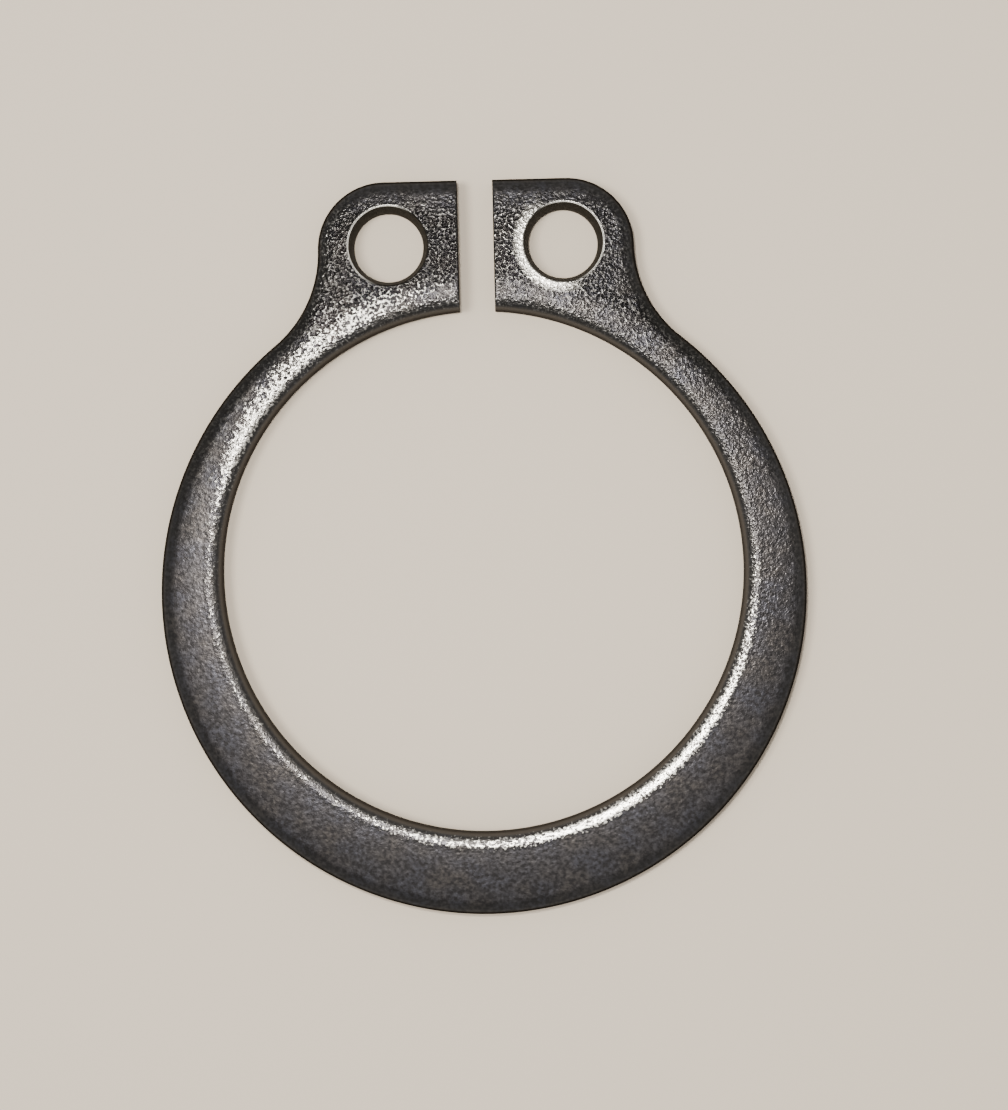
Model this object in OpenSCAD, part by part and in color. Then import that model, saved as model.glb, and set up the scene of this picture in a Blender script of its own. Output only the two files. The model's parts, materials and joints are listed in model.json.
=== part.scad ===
// External retaining ring, one flat piece stamped from spring steel strip.
// The origin is on the axis of the ring's inner circle, on its under face.
// The gap and the two lugs point to +Y, and +Z is the ring's rounded upper face.

/* [Ring] */
// thickness of the strip
thickness = 1; // [0.8:0.1:1.4]
// inner diameter of the unsprung ring
inner_diameter = 14.7; // [13:0.1:17.4]
// width of the ring opposite the gap, where it is widest
arm_width = 2.28; // [2:0.02:2.6]
// width that the arms taper to where the lugs cover them, at the gap
slim_width = 1.14; // [1:0.02:1.4]
// width of the gap between the lugs
gap_width = 1; // [0.6:0.1:1.6]

/* [Lugs] */
// height of the lugs, from the inner circle to their straight ends
lug_height = 3.64; // [3.4:0.02:4]
// length of a lug's straight end, from the gap to its shoulder
end_length = 2.06; // [1.8:0.02:2.4]
// radius of the lugs' round outer shoulder
shoulder_radius = 1.88; // [1.6:0.02:2.2]
// radius of the hollow neck between the shoulder and the arm
neck_radius = 3.4; // [2.6:0.1:4.4]

/* [Plier holes] */
// diameter of the holes' straight part
hole_diameter = 1.96; // [1.7:0.02:2.2]
// distance from a hole's centre to its lug's straight end
hole_to_end = 1.81; // [1.6:0.01:2]
// distance from a hole's centre to the gap
hole_to_gap = 1.96; // [1.7:0.02:2.2]
// how much wider than the straight part the holes' mouths are at the upper face
hole_mouth = 0.25; // [0.1:0.01:0.36]
// depth of that widening
mouth_depth = 0.55; // [0.3:0.05:0.7]

/* [Edges] */
// radius of the broad rounding along the upper face
roll_radius = 0.6; // [0.5:0.05:0.8]
// angle through which the broad rounding turns
roll_angle = 34; // [25:1:42]
// radius of the tight rounding between the broad one and the wall
nose_radius = 0.14; // [0.08:0.01:0.2]
// size of the small bevel along the under face
under_bevel = 0.04; // [0.02:0.01:0.08]

/* [Hidden] */
$fn = 144;
steel = [0.16, 0.16, 0.18];
// room for cutting tools to run past the faces they open
past = 1;
// neighbouring outlines overlap by this much, so that they cross cleanly
overlap = 0.01;
inner_radius = inner_diameter / 2;
outer_radius = inner_radius + (arm_width + slim_width) / 2;
// how far the outer circle's centre lies from the inner one's, away from the gap
outer_shift = (arm_width - slim_width) / 2;
lug_end = inner_radius + lug_height;
hole_radius = hole_diameter / 2;
mouth_radius = hole_radius + hole_mouth / 2;
hole_offset = gap_width / 2 + hole_to_gap;
hole_height = lug_end - hole_to_end;
shoulder_offset = gap_width / 2 + end_length;
shoulder_height = lug_end - shoulder_radius;
// the lugs' straight ends run down this far, well into the arms' disc
block_depth = lug_height + slim_width / 2;
// how far the two roundings reach across the face, and how far down the wall
roll_width = nose_radius + (roll_radius - nose_radius) * sin(roll_angle);
roll_drop = roll_radius - (roll_radius - nose_radius) * cos(roll_angle);
// the neck's centre, found from its distances to the arm's and the shoulder's centres
arm_to_neck = outer_radius + neck_radius - overlap;
shoulder_to_neck = shoulder_radius + neck_radius - overlap;
arm_to_shoulder = norm([shoulder_offset, shoulder_height + outer_shift]);
shoulder_bearing = atan2(shoulder_height + outer_shift, shoulder_offset);
neck_turn = acos((pow(arm_to_neck, 2) + pow(arm_to_shoulder, 2) - pow(shoulder_to_neck, 2))
    / (2 * arm_to_neck * arm_to_shoulder));
neck_x = arm_to_neck * cos(shoulder_bearing - neck_turn);
neck_y = arm_to_neck * sin(shoulder_bearing - neck_turn) - outer_shift;

// what the roundings and the bevel take off a wall at x = 0, with the solid on its left
module edge_waste() {
    broad_rounding();
    tight_rounding();
    bevel();
}

module broad_rounding() {
    difference() {
        translate([-roll_width, thickness - roll_drop])
            square([roll_width + past, roll_drop + past]);
        translate([-roll_width, thickness - roll_radius])
            circle(r = roll_radius);
    }
}

module tight_rounding() {
    translate([-nose_radius, thickness - roll_drop])
        difference() {
            polygon([[0, 0], [past, 0], [past, past], [past * tan(roll_angle), past]]);
            circle(r = nose_radius);
        }
}

module bevel() {
    polygon([[-under_bevel, 0], [past, past + under_bevel], [past, -past], [-under_bevel, -past]]);
}

// section of a solid that ends in the rounded wall at x = reach
module edge_section(reach) {
    difference() {
        square([reach, thickness]);
        translate([reach, 0])
            edge_waste();
    }
}

// round body with the rounded wall
module round_body(radius) {
    rotate_extrude()
        edge_section(radius);
}

// cutting tool for a round opening with the rounded wall
module round_opening(radius) {
    rotate_extrude() {
        translate([0, -past])
            square([radius, thickness + 2 * past]);
        translate([radius, 0])
            mirror([1, 0])
                edge_waste();
    }
}

// both arms come from one disc that sits off the ring's axis
module arm_disc() {
    translate([0, -outer_shift, 0])
        round_body(outer_radius);
}

module shoulder() {
    translate([shoulder_offset, shoulder_height, 0])
        round_body(shoulder_radius);
}

// straight end of a lug, from the ring's middle line to the shoulder
module lug_end_block() {
    translate([0, lug_end - overlap - block_depth, 0])
        rotate([90, 0, 90])
            linear_extrude(height = shoulder_offset)
                edge_section(block_depth);
}

// the corner between arm and shoulder, with the neck's hollow cut out of it
module neck() {
    difference() {
        linear_extrude(height = thickness)
            polygon([[0, -outer_shift], [neck_x, neck_y], [shoulder_offset, shoulder_height]]);
        translate([neck_x, neck_y, 0])
            round_opening(neck_radius);
    }
}

module lug() {
    shoulder();
    lug_end_block();
    neck();
}

// straight bore that widens to its mouth
module plier_hole() {
    translate([hole_offset, hole_height, 0]) {
        translate([0, 0, -past])
            cylinder(r = hole_radius, h = thickness + 2 * past);
        translate([0, 0, thickness - mouth_depth])
            cylinder(r1 = hole_radius, r2 = mouth_radius, h = mouth_depth);
    }
}

module gap() {
    translate([-gap_width / 2, 0, -past])
        cube([gap_width, lug_end + past, thickness + 2 * past]);
}

module retaining_ring() {
    color(steel)
        difference() {
            union() {
                arm_disc();
                lug();
                mirror([1, 0, 0])
                    lug();
            }
            round_opening(inner_radius);
            gap();
            plier_hole();
            mirror([1, 0, 0])
                plier_hole();
        }
}

retaining_ring();
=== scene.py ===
# %% [markdown]
# A circlip holds a bearing or a washer on a shaft. It is one flat piece, stamped from spring steel
# strip, then hardened, blackened in oil and tumbled with others until its edges are round. So there is
# only one thing to model here, and all of its character sits in two places: the soft, wide rounding
# that runs along every stamped edge, and the grainy, oil-dark surface that sparkles where it faces a
# lamp.
#
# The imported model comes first. It fixes the size and the place of everything, and nothing below moves it.

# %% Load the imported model
import json
import math
import bmesh
import bpy
import numpy as np
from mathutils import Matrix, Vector
from mathutils.geometry import delaunay_2d_cdt


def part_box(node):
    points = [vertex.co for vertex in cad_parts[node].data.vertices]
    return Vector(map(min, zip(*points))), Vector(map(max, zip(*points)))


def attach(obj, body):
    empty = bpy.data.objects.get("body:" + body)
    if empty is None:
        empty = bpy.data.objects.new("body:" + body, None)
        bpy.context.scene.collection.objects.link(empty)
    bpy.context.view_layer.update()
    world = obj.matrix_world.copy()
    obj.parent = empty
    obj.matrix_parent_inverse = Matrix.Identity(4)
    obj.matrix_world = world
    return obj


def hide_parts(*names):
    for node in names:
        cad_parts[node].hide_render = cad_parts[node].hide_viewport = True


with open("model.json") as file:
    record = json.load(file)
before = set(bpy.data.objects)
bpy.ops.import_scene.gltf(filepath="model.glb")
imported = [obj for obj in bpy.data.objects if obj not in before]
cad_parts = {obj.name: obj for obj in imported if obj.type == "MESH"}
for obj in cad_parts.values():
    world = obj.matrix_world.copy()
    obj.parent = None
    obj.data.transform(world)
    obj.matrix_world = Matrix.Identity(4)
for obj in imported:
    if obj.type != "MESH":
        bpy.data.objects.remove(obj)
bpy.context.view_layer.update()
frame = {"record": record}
MM = 0.001
low, high = (np.array(corner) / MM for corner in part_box("retaining_ring"))
print("the packed ring measures", np.round(high - low, 2), "mm")

# %% [markdown]
# The ring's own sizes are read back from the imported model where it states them: the inner circle and the
# plier holes are its mounts, and the outer circle, the lugs' ends and the thickness are its box. What the
# box can't say, such as the radius of a lug's shoulder, is named here in millimetres, as in a drawing.

# %% The ring's sizes
mounts = {mount["name"]: mount for mount in frame["record"]["mounts"]}
inner_radius = mounts["shaft_seat"]["dims"]["r_mm"]
hole_radius = mounts["plier_hole_right"]["dims"]["r_mm"]
hole_centre = np.array(mounts["plier_hole_right"]["pos_m"][:2]) / MM
thickness = high[2]
lug_end = high[1]
outer_radius = (high[0] - low[0]) / 2
outer_shift = -low[1] - outer_radius

half_gap = 0.5
end_length = 2.06
shoulder_offset = half_gap + end_length
shoulder_radius = 1.88
neck_radius = 3.4
mouth_widening = 0.125
mouth_radius = hole_radius + mouth_widening
mouth_depth = 0.55
under_bevel = 0.04
print(f"inner circle {inner_radius:.2f}, outer circle {outer_radius:.2f}, thickness {thickness:.2f} mm")

# %% [markdown]
# The outline could be cut from discs with boolean modifiers, but they leave uneven points along the edge,
# and the rounding needs even ones. So the outline is drawn once for the right half, as on a drawing board:
# the lug's straight end, the round shoulder, the hollow neck and the arm, each an arc that runs into the
# next one without a corner. Two arcs that touch have their centres as far apart as their radii together,
# which gives the neck's centre.

# %% Centres of the outline's arcs
def direction(start, end):
    return math.atan2(end[1] - start[1], end[0] - start[0])


arm_centre = np.array([0.0, -outer_shift])
shoulder_centre = np.array([shoulder_offset, lug_end - shoulder_radius])
reach_arm = outer_radius + neck_radius
reach_shoulder = shoulder_radius + neck_radius
span = np.linalg.norm(shoulder_centre - arm_centre)
turn = math.acos((reach_arm ** 2 + span ** 2 - reach_shoulder ** 2) / (2 * reach_arm * span))
bearing = direction(arm_centre, shoulder_centre) - turn
neck_centre = arm_centre + reach_arm * np.array([math.cos(bearing), math.sin(bearing)])
print("the neck's arc turns round", np.round(neck_centre, 2))

# %% [markdown]
# A line of points along one edge can be moved into the metal by any depth: an arc that bulges gets a
# smaller radius, the hollow neck a larger one. Every copy has the same number of points, so two copies at
# different depths and heights can be joined with a strip of faces. That is how the rounding is built. A
# bevel modifier would be quicker, but it gives a single arc, and the real edge has two that differ.

# %% The outline at any depth inside the edge
quarter_turn = math.pi / 2
spacing = 0.11
fewest_steps = 6
end_points = 16
inner_points = round(math.tau * inner_radius / spacing)


def arc(centre, radius, start, end, drawn_radius):
    steps = max(fewest_steps, round(abs(end - start) * drawn_radius / spacing))
    angles = np.linspace(start, end, steps, endpoint=False)
    return centre + radius * np.column_stack([np.cos(angles), np.sin(angles)])


def outline(depth):
    shoulder_turn = direction(shoulder_centre, neck_centre)
    into_neck = direction(neck_centre, shoulder_centre)
    out_of_neck = direction(neck_centre, arm_centre)
    end_x = np.linspace(half_gap, shoulder_offset, end_points, endpoint=False)
    right = np.vstack([
        np.column_stack([end_x, np.full(end_points, lug_end - depth)]),
        arc(shoulder_centre, shoulder_radius - depth, quarter_turn, shoulder_turn, shoulder_radius),
        arc(neck_centre, neck_radius + depth, into_neck % math.tau, out_of_neck % math.tau, neck_radius),
        arc(arm_centre, outer_radius - depth, bearing, -quarter_turn, outer_radius),
    ])
    bottom = np.array([[0.0, -outer_shift - outer_radius + depth]])
    left = right[::-1] * [-1, 1]
    bore = inner_radius + depth
    gap_angle = math.asin(half_gap / bore)
    first = quarter_turn + gap_angle
    angles = np.linspace(first, quarter_turn + math.tau - gap_angle, inner_points)
    inner = bore * np.column_stack([np.cos(angles), np.sin(angles)])
    return np.vstack([right, bottom, left, inner])


edge_line = outline(0)
print(len(edge_line), "points run round the ring's edge")

# %% [markdown]
# A punch drags the strip's surface down with it before it cuts, which leaves a broad, shallow fall towards
# each edge, and tumbling then rounds the corner itself. Two arcs give that section: a wide one on the
# face and a tight one at the wall. Behind them the face still falls by a few hundredths of a millimetre,
# fading with distance, and round each plier hole it rises by about one, where the punch came through.
# Such slopes are too faint to see from the side, but they decide where a lamp's reflection lies.

# %% How far the upper face falls near an edge
roll_radius = 1.1
roll_angle = math.radians(14)
nose_radius = 0.2
inner_fall = 0.04
inner_reach = 0.37
outer_fall = 0.07
outer_reach = 0.95
rim_rise = 0.012
rim_reach = 0.35
roll_width = nose_radius + (roll_radius - nose_radius) * math.sin(roll_angle)
roll_drop = roll_radius - (roll_radius - nose_radius) * math.cos(roll_angle)
nose_end = nose_radius * (1 - math.sin(roll_angle))


def roll_fall(depth):
    depth = np.clip(depth, 0, roll_width)
    nose = roll_drop - np.sqrt(np.maximum(nose_radius ** 2 - (nose_radius - depth) ** 2, 0))
    broad = roll_radius - np.sqrt(roll_radius ** 2 - (roll_width - depth) ** 2)
    return np.where(depth < nose_end, nose, broad)


print(f"the rounding is {roll_width:.2f} mm wide and {roll_drop:.2f} mm deep")

# %% [markdown]
# Every point of the face needs its distance from the outer edge, from the inner circle and from the
# nearest hole. The circles are a matter of one subtraction. The outer edge is a chain of short lines, and
# the nearest spot on a line is found by dropping a perpendicular onto it.

# %% Height of the upper face at any point
outer_line = edge_line[:-inner_points]


def distance_to_outer(points):
    start = outer_line[:-1]
    along = outer_line[1:] - start
    offset = points[:, None, :] - start[None, :, :]
    share = np.clip((offset * along).sum(2) / (along ** 2).sum(1), 0, 1)
    return np.linalg.norm(offset - share[..., None] * along, axis=2).min(1)


def distance_to_inner(points):
    return np.abs(np.hypot(*points.T) - inner_radius)


def distance_to_hole_centre(points):
    return np.hypot(np.abs(points[:, 0]) - hole_centre[0], points[:, 1] - hole_centre[1])


def face_height(points):
    from_outer = distance_to_outer(points)
    from_inner = distance_to_inner(points)
    from_mouth = np.maximum(distance_to_hole_centre(points) - mouth_radius, 0)
    crown = outer_fall * np.exp(-from_outer / outer_reach) + inner_fall * np.exp(-from_inner / inner_reach)
    rim = rim_rise * np.exp(-from_mouth / rim_reach)
    return thickness - roll_fall(np.minimum(from_outer, from_inner)) - crown + rim


middle_of_arm = np.array([[0.0, -(inner_radius + outer_radius + outer_shift) / 2]])
print("height in the middle of the arm", np.round(face_height(middle_of_arm), 3))

# %% [markdown]
# The wall of the ring is a stack of these outlines, from the small bevel on the under face up to where
# the rounding meets the face. The levels lie close together where the section turns fast, so that a
# lamp's reflection bends smoothly over them. The last one lies just behind the rounding, and holds the
# face there.

# %% Depths of the levels in the rounding
nose_rows = 9
broad_rows = 12
support = 0.02
nose_steps = np.linspace(0, quarter_turn - roll_angle, nose_rows)
broad_steps = np.linspace(quarter_turn - roll_angle, quarter_turn, broad_rows + 1)[1:]
roll_depths = np.concatenate([
    nose_radius * (1 - np.cos(nose_steps)),
    roll_width - roll_radius * np.cos(broad_steps),
    [roll_width + support],
])
print(len(roll_depths), "levels reach", round(float(roll_depths[-1]), 2), "mm into the face")

# %% [markdown]
# An outline leaves out the two faces of the gap, so each level adds a row of points across them. These
# faces were cut last, and nothing rounds them but a trace of tumbling. So there the levels stay in one
# plane, and only the topmost ones step back a little.

# %% Levels of the wall
gap_rounding = 0.035
gap_points = 28
touching = 0.001
face_line_height = face_height(outline(roll_depths[-1]))


def between(values, ends, share):
    return values[ends[0]] + share * (values[ends[1]] - values[ends[0]])


def gap_wall(line, heights, ends, on_upper_side):
    share = np.linspace(0, 1, gap_points + 2)[1:-1]
    side = between(line, ends, share[:, None])
    side_height = between(heights, ends, share)
    if on_upper_side:
        side_height *= face_height(side) / between(face_line_height, ends, share)
    return np.column_stack([side, side_height])


def level(depth, height=None):
    on_upper_side = height is None
    line = outline(depth)
    heights = face_height(line) if on_upper_side else np.full(len(line), height)
    points = np.column_stack([line, heights])
    outer_points = len(outer_line)
    points = np.vstack([
        points[:outer_points],
        gap_wall(line, heights, (outer_points - 1, outer_points), on_upper_side),
        points[outer_points:],
        gap_wall(line, heights, (len(line) - 1, 0), on_upper_side),
    ])
    left_to_round = max(gap_rounding - float(roll_fall(depth)), 0) if on_upper_side else 0
    step_back = gap_rounding - math.sqrt(gap_rounding ** 2 - left_to_round ** 2) + max(depth - roll_width, 0)
    beside_gap = np.abs(points[:, 0]) < half_gap + touching
    points[beside_gap, 0] += np.sign(points[beside_gap, 0]) * step_back
    return points


wall_top = thickness - roll_drop - outer_fall - inner_fall
levels = [level(under_bevel, 0.0), level(0, under_bevel), level(0, wall_top / 2)]
levels += [level(depth) for depth in roll_depths]
print(len(levels), "levels of", len(levels[0]), "points")

# %% [markdown]
# Each plier hole was punched from below. The punch cuts a clean bore for half the depth, and then the
# metal tears out to a wider mouth. A hole is the same kind of stack, made of circles: a trace of a bevel,
# the bore, the torn cone and a fine rounded rim, along which a thin bright line is painted further down.

# %% Levels of the plier holes
hole_bevel = 0.03
rim_rounding = 0.05
rim_leans = (15, 30, 45, 60, 75)
rim_supports = (0.02, 0.05)
hole_points = 120


def circle(radius, side, height=None):
    angles = np.linspace(0, math.tau, hole_points, endpoint=False)
    ring_points = hole_centre + radius * np.column_stack([np.cos(angles), np.sin(angles)])
    ring_points[:, 0] *= side
    heights = face_height(ring_points) if height is None else np.full(hole_points, height)
    return np.column_stack([ring_points, heights])


def hole_levels(side):
    mouth = circle(mouth_radius + rim_rounding, side)
    cone_top = mouth[:, 2].mean() - rim_rounding
    stack = [
        circle(hole_radius + hole_bevel, side, 0.0),
        circle(hole_radius, side, hole_bevel),
        circle(hole_radius, side, thickness - mouth_depth),
        circle(mouth_radius, side, cone_top),
    ]
    for lean in rim_leans:
        turn_in = math.radians(lean)
        rim = circle(mouth_radius + rim_rounding * (1 - math.cos(turn_in)), side, cone_top)
        rim[:, 2] += (mouth[:, 2] - cone_top) * math.sin(turn_in)
        stack.append(rim)
    return stack + [mouth] + [circle(mouth_radius + rim_rounding + out, side) for out in rim_supports]


holes = [hole_levels(side) for side in (1, -1)]
print(len(holes), "holes of", len(holes[0]), "circles")

# %% [markdown]
# The upper face carries its faint crown on a grid of points, each other row moved by half a step so that
# the triangles between them come out even. The points keep clear of the rounding, the holes and the gap,
# where the stacks have points of their own. Whether a point lies inside the outline is found by counting
# how often a line from it crosses the edge: an odd number means inside.

# %% Points across the upper face
grid_step = 0.13
clear_of_edge = 0.08
clear_of_hole = 0.12


def inside(points, loop):
    start, end = loop, np.roll(loop, -1, axis=0)
    x, y = points[:, 0:1], points[:, 1:2]
    crosses = (start[:, 1] > y) != (end[:, 1] > y)
    rise = np.where(end[:, 1] == start[:, 1], 1, end[:, 1] - start[:, 1])
    meets = (end[:, 0] - start[:, 0]) * (y - start[:, 1]) / rise + start[:, 0]
    return (crosses & (x < meets)).sum(1) % 2 == 1


columns = np.arange(low[0], high[0], grid_step)
rows = np.arange(low[1], high[1], grid_step)
grid = np.array([(x + 0.5 * grid_step * (n % 2), y) for n, y in enumerate(rows) for x in columns])
from_edge = np.minimum(distance_to_outer(grid), distance_to_inner(grid))
clear = from_edge > roll_width + clear_of_edge
clear &= distance_to_hole_centre(grid) > mouth_radius + rim_rounding + clear_of_hole
clear &= (np.abs(grid[:, 0]) > half_gap + clear_of_edge) | (grid[:, 1] < 0)
clear &= inside(grid, edge_line)
grid = grid[clear]
print(len(grid), "points lie on the face")

# %% [markdown]
# The two flat sides are filled by triangles that join the outline, the holes and, on the upper side, the
# grid. Blender could fill each side with one many-sided face, but then it couldn't bend over the crown. A
# Delaunay triangulation takes any set of points and avoids thin slivers where it can. It also fills the
# gap, the holes and the ring's middle, and those triangles are dropped again.

# %% Fill the two faces
merge_distance = 1e-6


def on_face(points, loops):
    return inside(points, loops[0]) & ~inside(points, loops[1]) & ~inside(points, loops[2])


def fill(loops, extra):
    flat = [loop[:, :2] for loop in loops]
    starts = np.cumsum([0] + [len(loop) for loop in flat])
    edges = []
    for start, loop in zip(starts, flat):
        edges += [(start + k, start + (k + 1) % len(loop)) for k in range(len(loop))]
    points = np.vstack(flat + [extra])
    made = delaunay_2d_cdt([Vector(point) for point in points], edges, [], 0, merge_distance)
    source = np.array([origin[0] for origin in made[3]])
    triangles = source[np.array(made[2])]
    return triangles[on_face(points[triangles].mean(1), flat)]


upper_fill = fill([levels[-1], holes[0][-1], holes[1][-1]], grid)
under_fill = fill([levels[0], holes[0][0], holes[1][0]], np.empty((0, 2)))
print(len(upper_fill), "triangles above and", len(under_fill), "below")

# %% [markdown]
# Now the stacks and the two fills are sewn into one closed skin. A strip of four-sided faces joins each
# level to the next. The loops that the fills share with the stacks keep their numbers, so no edge is left
# open, and a closed skin is what a slicer or a physics tool needs.

# %% Sew the ring's mesh
stacks = [levels] + holes
points, faces, loop_start = [], [], {}
count = 0
for which, stack in enumerate(stacks):
    size = len(stack[0])
    for row, loop in enumerate(stack):
        loop_start[which, row] = count
        points.append(loop)
        count += size
    for row in range(len(stack) - 1):
        below, above = loop_start[which, row], loop_start[which, row + 1]
        for k in range(size):
            after = (k + 1) % size
            faces.append((below + k, below + after, above + after, above + k))

points.append(np.column_stack([grid, face_height(grid)]))
grid_start = count


def point_number(index, row):
    for which, stack in enumerate(stacks):
        if index < len(stack[0]):
            return loop_start[which, row % len(stack)] + index
        index -= len(stack[0])
    return grid_start + index


for triangles, row in ((upper_fill, -1), (under_fill, 0)):
    faces += [[point_number(k, row) for k in corners] for corners in triangles.tolist()]
skin = bpy.data.meshes.new("ring_skin")
skin.from_pydata((np.vstack(points) * MM).tolist(), [], [list(face) for face in faces])
print(len(skin.vertices), "points and", len(skin.polygons), "faces")

# %% [markdown]
# The faces were listed in no special order, so their outer sides are made to agree. The surface is shaded
# smooth, except where it really has a corner: along the gap's faces, the bevels and the holes' rims.

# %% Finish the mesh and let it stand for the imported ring
corner_angle = math.radians(38)
shaper = bmesh.new()
shaper.from_mesh(skin)
bmesh.ops.recalc_face_normals(shaper, faces=shaper.faces)
open_edges = sum(not edge.is_manifold for edge in shaper.edges)
volume = shaper.calc_volume() / MM ** 3
shaper.to_mesh(skin)
shaper.free()
skin.shade_smooth()
skin.set_sharp_from_angle(angle=corner_angle)
ring = bpy.data.objects.new("ring", skin)
bpy.context.collection.objects.link(ring)
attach(ring, "root")
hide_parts("retaining_ring")
print(f"{open_edges} open edges, {volume:.1f} cubic millimetres of steel")

# %% [markdown]
# The steel's finish is made of numbers that vary over the surface. Their Math nodes could be placed and
# wired one by one, but there are more than two hundred, and plain expressions are easier to follow. So a
# Signal stands for one output of a node, and adding or multiplying signals adds the nodes and their links.

# %% Signals that can be added and multiplied
class Signal:
    def __init__(self, tree, socket):
        self.tree = tree
        self.socket = socket

    def math(self, operation, first, second=0.0):
        node = self.tree.nodes.new("ShaderNodeMath")
        node.operation = operation
        for place, value in zip(node.inputs, (first, second)):
            if isinstance(value, Signal):
                self.tree.links.new(value.socket, place)
            else:
                place.default_value = value
        return Signal(self.tree, node.outputs[0])

    def __add__(self, other):
        return self.math("ADD", self, other)

    __radd__ = __add__

    def __sub__(self, other):
        return self.math("SUBTRACT", self, other)

    def __rsub__(self, other):
        return self.math("SUBTRACT", other, self)

    def __mul__(self, other):
        return self.math("MULTIPLY", self, other)

    __rmul__ = __mul__

    def __pow__(self, power):
        return self.math("POWER", self, power)

    def clamped(self):
        return self.math("MINIMUM", self.math("MAXIMUM", self, 0.0), 1.0)


print("shader maths can be written as expressions")

# %% [markdown]
# A Finish is one material. Its nodes other than the Math nodes, such as a noise or a bump, come from a
# single method that takes the node's type, its settings and what goes into its sockets. Colours need a
# Mix node, because a Math node would turn them grey. That node keeps a set of sockets for each type of
# value, so the ones for colours are named here by their numbers.

# %% A material that is written as expressions
mix_colours_in = (6, 7)
mix_colour_out = 2


class Finish:
    def __init__(self, name):
        self.material = bpy.data.materials.new(name)
        self.material.use_nodes = True
        self.tree = self.material.node_tree
        self.shader = self.tree.nodes["Principled BSDF"]

    def node(self, kind, settings=None, inputs=None, output=0):
        made = self.tree.nodes.new(kind)
        for name, value in (settings or {}).items():
            setattr(made, name, value)
        for name, value in (inputs or {}).items():
            if isinstance(value, Signal):
                self.tree.links.new(value.socket, made.inputs[name])
            else:
                made.inputs[name].default_value = value
        return Signal(self.tree, made.outputs[output])

    def mix(self, share, first, second):
        inputs = {"Factor": share, mix_colours_in[0]: first, mix_colours_in[1]: second}
        return self.node("ShaderNodeMix", {"data_type": "RGBA"}, inputs, mix_colour_out)

    def feed(self, **inputs):
        for name, value in inputs.items():
            socket = self.shader.inputs[name.replace("_", " ")]
            if isinstance(value, Signal):
                self.tree.links.new(value.socket, socket)
            else:
                socket.default_value = value


print("a finish can mix colours and feed the shader")

# %% [markdown]
# Oil-blackened spring steel is still a metal: it has almost no colour of its own and shows what it
# reflects. Its grain is made of pits and bumps about a tenth of a millimetre wide. A picture of grain
# would stretch round the edges, so noise is used, and it reads the place of each spot in millimetres. The
# fine grain becomes relief further down, the speck scatters darker spots, and the broad tint decides where
# the oxide looks brown and where violet.

# %% Grain of the black spring steel
steel = Finish("black_spring_steel")
place = steel.node("ShaderNodeTexCoord", output="Object")
in_mm = steel.node("ShaderNodeVectorMath", {"operation": "SCALE"}, {"Vector": place, "Scale": 1 / MM})


def noise(waves_per_mm, detail, roughness):
    settings = {"noise_dimensions": "3D"}
    inputs = {"Vector": in_mm, "Scale": waves_per_mm, "Detail": detail, "Roughness": roughness}
    return steel.node("ShaderNodeTexNoise", settings, inputs)


grain = noise(12.0, 1.0, 0.6)
speck = noise(9.0, 2.0, 0.5)
tint = noise(1.2, 1.5, 0.5)
print("the grain takes", len(steel.tree.nodes), "nodes")

# %% [markdown]
# Wear, oxide and painted light and shade lie in places that can be named: on a lug, near the bore, on a
# steep edge. They could be painted by hand, but two facts about a spot say as much: which way it faces,
# and where it lies. Across is its distance to the right of the ring's middle line, along its distance
# towards the gap, and both are in millimetres. Flatness is 1 on the faces and 0 on a wall, above and below
# alike, so the under face gets the same finish as the upper one.

# %% Which way a spot faces and where it lies
normal = steel.node("ShaderNodeTexCoord", output="Normal")
tilt = steel.node("ShaderNodeSeparateXYZ", inputs={"Vector": normal}, output=2)
flatness = tilt.math("ABSOLUTE", tilt)
across, along = (steel.node("ShaderNodeSeparateXYZ", inputs={"Vector": in_mm}, output=k) for k in (0, 1))
from_middle = (across * across + along * along) ** 0.5
print("with facing and place, the steel has", len(steel.tree.nodes), "nodes")

# %% [markdown]
# A place is now a share from 0 to 1 over the surface. A ramp makes one by rising between two values, such
# as two distances, and where a place has no edge, a weighted sum of across and along rises steadily that
# way. On this ring the lugs are pitted most, and the pits fade down the arms. They are fewer to the right
# of the right hole and beside it towards the gap, and they get coarser towards the upper right. Near the
# bore at the lower left, shade is painted where the lamp's reflection is weaker, and the steel is darker
# along the left outer edge.

# %% Pits on the lugs, painted shade at the lower left, a darker left edge
def ramp(value, zero_at, one_at):
    slope = 1 / (one_at - zero_at)
    return (slope * value - slope * zero_at).clamped()


near_bore = ramp(from_middle, 8.0, 7.41)
below_end = ramp(along, 10.86, 9.9)
on_lugs = ramp(along, 6.9, 7.9) * ramp(from_middle, 8.11, 8.67) * below_end
on_left_lug = on_lugs * ramp(across, 0.5, -0.5)
right_of_hole = on_lugs * ramp(across, 3.0, 4.25)
beside_hole = ramp(across, -0.5, 0.5) * ramp(across, 4.0, 2.33) * ramp(along, 10.6, 9.6) * on_lugs
pitted = (ramp(along, 0, 11.1) + on_lugs).clamped() * below_end
pitted = pitted * (1 - 0.6 * right_of_hole) * (1 - 0.3 * beside_hole)
coarser = (0.08 * across + 0.12 * along).clamped()
# painted shade: darker near the bore at the lower left, where the lamp's reflection is weaker
lower_left_shade = near_bore * (-0.118 * across - 0.068 * along).clamped()
# darker along the outer part of the left arm
left_outside = (0.25 * along - 0.05 * across - 0.2).clamped() * below_end * ramp(from_middle, 7.89, 8.44)
print("with pits and oxide, the steel has", len(steel.tree.nodes), "nodes")
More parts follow.
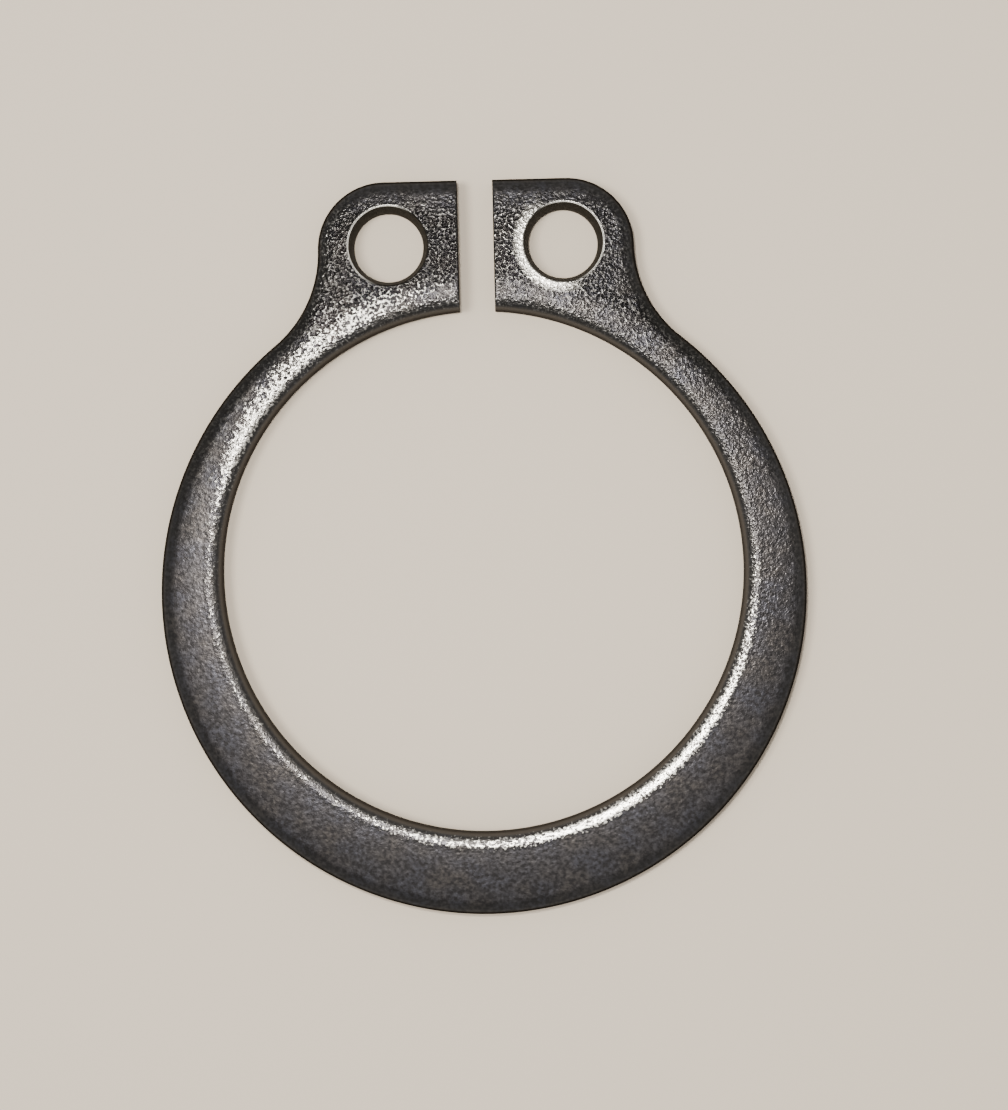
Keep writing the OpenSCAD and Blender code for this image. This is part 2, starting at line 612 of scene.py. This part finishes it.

# %% [markdown]
# A painted highlight runs along the inner edge, where the main lamp's reflection lies, brightest at the
# lower right; a long painted highlight streak lies on the upper left arm, and a weaker one on the right lug
# beside its hole towards the gap. A band makes such a streak: it is full round its middle and fades out on
# both sides. Multiplying the streak by the grain would give an even haze of dots. So the grain is set
# against a threshold that the painted highlight lowers: the middle of a streak is solid, and its edges break
# up into ragged grains, as on the real ring.

# %% Painted highlight along the inner edge and on the upper left
def band(value, centre, half_width):
    away = value.math("ABSOLUTE", value - centre)
    return ramp(away, half_width, half_width / 3)


grain_contrast = 7
lower_right = (0.1 * across - 0.14 * along - 0.5).clamped()
inner_highlight = band(from_middle, 7.62, 0.26) * (1 - 0.7 * lower_left_shade - 0.8 * coarser)
upper_left = ramp(along - across, 8.22, 10.44) * ramp(along, 0.86, 3.71)
upper_left = upper_left * band(from_middle - 0.045 * along, 7.65, 0.37)
# painted highlight: the share of near-white steel along the inner edge, the upper left streak and beside the
# right hole
painted_highlight = (inner_highlight * (0.42 + 0.5 * lower_right) + 0.57 * upper_left + 0.25 * beside_hole).clamped()
threshold = 0.714 - 0.471 * painted_highlight
highlight_grains = (grain_contrast * (grain - threshold)).clamped() * ramp(painted_highlight, 0, 0.25)
print("with the wear, the steel has", len(steel.tree.nodes), "nodes")

# %% [markdown]
# A thin painted highlight lines the rims of both holes on the side away from the gap: the steel there is
# near white and not metallic, so the line stays bright. On the right lug a crescent is painted as a
# highlight, between the hole and the gap, and the grain under it is smoother. Both are found from the
# distance to the nearest hole's centre, which is the same sum for both holes once the side is left out.
# Whatever leans further than the face does, and isn't such a rim, counts as wall.

# %% Painted highlights at the holes, and the walls
from_hole_x = across.math("ABSOLUTE", across) - float(hole_centre[0])
from_hole_y = along - float(hole_centre[1])
from_hole_centre = (from_hole_x * from_hole_x + from_hole_y * from_hole_y) ** 0.5
towards_gap = (-0.9 * from_hole_x - 0.45 * from_hole_y).clamped()
away_from_gap = (1.6 * from_hole_x + 0.8 * from_hole_y + 0.4).clamped()
on_right = ramp(across, -0.5, 0.5)
upper_side = ramp(tilt, 0, 0.25)
# painted highlight: a crescent of near-white steel between the right hole and the gap
crescent_highlight = ramp(from_hole_centre, 1.44, 1.137) * towards_gap * on_right * upper_side
# painted highlight: a near-white, non-metallic line on the holes' rims
rim_highlight = ramp(from_hole_centre, 1.164, 1.111) * away_from_gap * upper_side
wall = ramp(flatness, 0.944, 0.667) * (1 - rim_highlight)
print("with the pliers' marks, the steel has", len(steel.tree.nodes), "nodes")

# %% [markdown]
# Now the colours, from the face to the wall. The face is brown or violet oxide with dark specks. It is
# darker where pits hold oil, and painted shade darkens it between the grains of the painted highlights,
# near the bore at the lower left and near the bore towards the upper right; it is also a little darker
# towards the upper right and along the left outer edge. It turns to bare steel in grains on the pitted
# lugs, and nearly white where highlights are painted: along the inner edge, in the upper left streak, in
# the crescent and on the holes' rims, with a faint painted sheen on every steep rounding. Each number
# before a place is the share by which that place darkens or lightens the steel, found by comparing renders
# with the photo. The rounded nose and the sheared walls under it keep a thick dull layer that hides the
# metal; on the nose it is nearly black, partly as painted shade, and it is painted lighter, a warm grey,
# along the bore.

# %% Colours of the steel
brown = (0.077, 0.070, 0.067, 1.0)
violet = (0.068, 0.067, 0.077, 1.0)
dark_speck = (0.033, 0.031, 0.032, 1.0)
oil_and_shade_black = (0.0, 0.0, 0.0, 1.0)
# near white: bare steel grains, and the colour of every painted highlight
bare_steel_and_highlight = (0.93, 0.90, 0.83, 1.0)
# nose colours: thick oxide, and painted shade that keeps the nose nearly black; the warm grey along the bore
# is painted lighter
nose_black = (0.012, 0.010, 0.008, 1.0)
nose_grey = (0.068, 0.059, 0.050, 1.0)
sheared_dark = (0.036, 0.032, 0.028, 1.0)
sheared_pale = (0.062, 0.055, 0.047, 1.0)

peak = ramp(grain, 0.514, 0.657)
leaning = ramp(flatness, 1, 0.967)
upright = ramp(flatness, 0.25, 0)
# darker: oil in pits, and painted shade between highlight grains and near the bore
darker = 0.4 * pitted * (1 - peak) + 0.45 * painted_highlight * (1 - highlight_grains) + 0.3 * lower_left_shade
# a little darker towards the upper right, and near the bore there painted shade that dims the lamp's
# reflection
darker = darker + (0.08 + 0.25 * near_bore) * coarser
darker = darker + 0.5 * left_outside * (1 - 0.5 * on_lugs)
# painted sheen: a little pale steel on every steep rounding; painted highlights: the inner edge, the streak,
# the crescent and the rims
bare_and_highlight = 0.08 * pitted * peak + 0.032 * leaning + (0.38 + 0.4 * lower_right) * highlight_grains
bare_and_highlight = bare_and_highlight + crescent_highlight * (0.4 + peak) + rim_highlight

face_colour = steel.mix(ramp(tint, 0.375, 0.625), brown, violet)
face_colour = steel.mix(ramp(speck, 0.375, 0.6875), dark_speck, face_colour)
face_colour = steel.mix(darker.clamped(), face_colour, oil_and_shade_black)
face_colour = steel.mix(bare_and_highlight.clamped(), face_colour, bare_steel_and_highlight)
# painted shade: the nose nearly black, painted lighter along the bore
nose_colour = steel.mix(near_bore, nose_black, nose_grey)
sheared = steel.mix(ramp(speck, 0.292, 0.708), sheared_dark, sheared_pale)
wall_colour = steel.mix(upright, nose_colour, sheared)
print("with the colours, the steel has", len(steel.tree.nodes), "nodes")

# %% [markdown]
# The grain glitters because each bump is tilted enough to catch a lamp by itself, so it is relief; only in
# the painted highlights does colour add white grains. The bump is less than a hundredth of a millimetre,
# stronger on the lugs and under the painted highlights, and nearly smooth in the painted crescent. The
# roughness stays moderate, since a mirror-like grain would turn into lone white dots. The dull layer on the
# walls isn't metallic, so it hardly reflects.

# %% Relief and shine of the steel
grain_height = 0.0085
face_roughness = 0.275
wall_roughness = 0.675
rougher = 1.3 * coarser + 1.2 * on_lugs * (1 - 0.7 * right_of_hole) + on_left_lug + 0.8 * inner_highlight
strength = 0.45 + (rougher + 0.8 * upper_left) * (0.2 + 0.8 * below_end)
relief = (grain + 0.3 * speck) * strength * (1 - 0.7 * crescent_highlight)
steel.feed(
    Base_Color=steel.mix(wall, face_colour, wall_colour),
    Metallic=(1 - wall - rim_highlight).clamped(),
    Specular_IOR_Level=0.0,
    Roughness=face_roughness + (wall_roughness - face_roughness) * wall,
    Normal=steel.node("ShaderNodeBump", inputs={"Height": relief, "Distance": grain_height * MM}),
)
skin.materials.append(steel.material)
print("in all, the steel has", len(steel.tree.nodes), "nodes")

# %% [markdown]
# The insides of the plier holes and the two faces of the gap are too narrow for tumbling to reach. There
# the oxide is still thick, matt and nearly black, with a trace of brown, and its near black also paints the
# shade that falls into these narrow recesses. So those faces get a finish of their own that hardly
# reflects. They are told apart by place: a steep face near a hole's centre, or one that looks into the gap.
# A second material keeps the change sharp at their edges.

# %% Blackened walls with painted shade
recess_finish = Finish("blackened_wall")
recess_place = recess_finish.node("ShaderNodeTexCoord", output="Object")
recess_grain = recess_finish.node("ShaderNodeTexNoise", inputs={"Vector": recess_place, "Scale": 6 / MM, "Detail": 2.0})
# painted shade: near black in the holes and the gap, over the thick oxide
recess_shade_black = (0.006, 0.005, 0.003, 1.0)
recess_brown = (0.030, 0.024, 0.016, 1.0)
recess_finish.feed(
    Base_Color=recess_finish.mix(recess_grain, recess_shade_black, recess_brown),
    Roughness=0.65 + 0.3 * recess_grain,
    Specular_IOR_Level=0.15,
    Normal=recess_finish.node("ShaderNodeBump", inputs={"Height": recess_grain, "Distance": 0.01 * MM}),
)
skin.materials.append(recess_finish.material)
near_mouth = mouth_radius + 0.005
steep_below = 0.7
dark_faces = 0
for face in skin.polygons:
    x, y = face.center.x / MM, face.center.y / MM
    in_hole = math.hypot(abs(x) - hole_centre[0], y - hole_centre[1]) < near_mouth
    in_gap = abs(x) < half_gap + touching and y > 0
    if abs(face.normal.z) < steep_below and (in_hole or in_gap):
        face.material_index = 1
        dark_faces += 1
print(dark_faces, "faces are blackened")

# %% [markdown]
# The photo was taken from almost straight above, so the camera looks straight down from over the middle
# of the picture. The inner circle's place and width in the photo, read off in pixels, say where that is:
# the circle's real size is known, so it turns pixels into millimetres. The height decides how much of the
# walls shows, and the lens follows from it, because the whole picture has to fill the sensor. The camera
# turns by the small angle at which the ring lies in the photo, so the ring itself stays where it is.

# %% The camera
photo_size = (1008, 1110)
circle_pixel = (483.9, 571.2)
circle_pixels_across = 519.0
camera_height = 84.0
ring_lean = math.radians(1.4)
sensor_height = 24
mm_per_pixel = 2 * inner_radius / circle_pixels_across


def on_floor(pixel):
    rightward = (pixel[0] - circle_pixel[0]) * mm_per_pixel
    upward = (circle_pixel[1] - pixel[1]) * mm_per_pixel
    cosine, sine = math.cos(ring_lean), math.sin(ring_lean)
    return np.array([rightward * cosine + upward * sine, upward * cosine - rightward * sine])


picture_middle = on_floor((photo_size[0] / 2, photo_size[1] / 2))
camera_data = bpy.data.cameras.new("camera")
camera = bpy.data.objects.new("camera", camera_data)
bpy.context.collection.objects.link(camera)
bpy.context.scene.camera = camera
camera.location = Vector((*picture_middle, camera_height)) * MM
camera.rotation_euler = (0, 0, -ring_lean)
camera_data.sensor_fit = "VERTICAL"
camera_data.sensor_height = sensor_height
camera_data.lens = sensor_height * camera_height / (photo_size[1] * mm_per_pixel)
camera_data.clip_start = 0.005
camera_data.clip_end = 10
print(f"the camera looks down from {camera_height:.0f} mm with a {camera_data.lens:.0f} mm lens")

# %% [markdown]
# A plain pale floor carries the ring. It is much larger than the view, so that its edge never shows, and
# its surface is dead matt, so that it only takes the ring's soft shadow.

# %% The floor
floor_half = 0.6
floor_mesh = bpy.data.meshes.new("floor")
corners = [(floor_half * x, floor_half * y, 0) for x, y in ((-1, -1), (1, -1), (1, 1), (-1, 1))]
floor_mesh.from_pydata(corners, [], [(0, 1, 2, 3)])
floor = bpy.data.objects.new("floor", floor_mesh)
bpy.context.collection.objects.link(floor)
warm_white = (0.77, 0.67, 0.55, 1.0)
pale = Finish("pale_floor")
pale.feed(Base_Color=warm_white, Roughness=0.9, Specular_IOR_Level=0.1)
floor_mesh.materials.append(pale.material)
print("the floor is", 2 * floor_half, "m wide")

# %% [markdown]
# A rounded dark edge is drawn by what it reflects, so each lamp has a task. The small main lamp hangs as
# high as the camera, a little to its upper left. The inner rounding faces the ring's middle and throws it
# back into the lens all the way round, while the outer rounding leans away and stays dark. A wide pale
# panel gives the flat of the face something to reflect. A third lamp leans over from the left, lights the
# floor and draws the soft shadow to the right of every edge. It is kept out of reflections, where it would
# draw a second bright line. The room adds a weak even light, so that no shadow goes black. Each lamp's
# power is worked out from its distance, so a lamp that is moved away still lights the floor as brightly.

# %% The lamps
lamp_colour = (1.0, 0.97, 0.91)
room_colour = (1.0, 0.98, 0.95, 1.0)
room_strength = 0.48


def lamp(name, lean_x, lean_y, distance, size, light_on_floor, in_reflections=True):
    data = bpy.data.lights.new(name, "AREA")
    data.shape = "DISK"
    data.size = size
    data.energy = light_on_floor * math.pi * distance ** 2
    data.color = lamp_colour
    piece = bpy.data.objects.new(name, data)
    bpy.context.collection.objects.link(piece)
    towards = Vector((math.tan(math.radians(lean_x)), math.tan(math.radians(lean_y)), 1)).normalized()
    piece.location = towards * distance
    piece.rotation_euler = towards.to_track_quat("Z", "Y").to_euler()
    piece.visible_camera = False
    piece.visible_glossy = in_reflections


lamp("main_lamp", lean_x=-2.9, lean_y=5.7, distance=0.084, size=0.006, light_on_floor=2.15)
lamp("pale_panel", lean_x=2, lean_y=4.4, distance=0.3, size=0.28, light_on_floor=0.33)
lamp("left_lamp", lean_x=-20, lean_y=-1, distance=0.3, size=0.09, light_on_floor=2.0, in_reflections=False)
world = bpy.data.worlds.new("studio")
bpy.context.scene.world = world
world.use_nodes = True
room = world.node_tree.nodes["Background"]
room.inputs["Color"].default_value = room_colour
room.inputs["Strength"].default_value = room_strength
print("lamps:", ", ".join(light.name for light in bpy.data.lights))
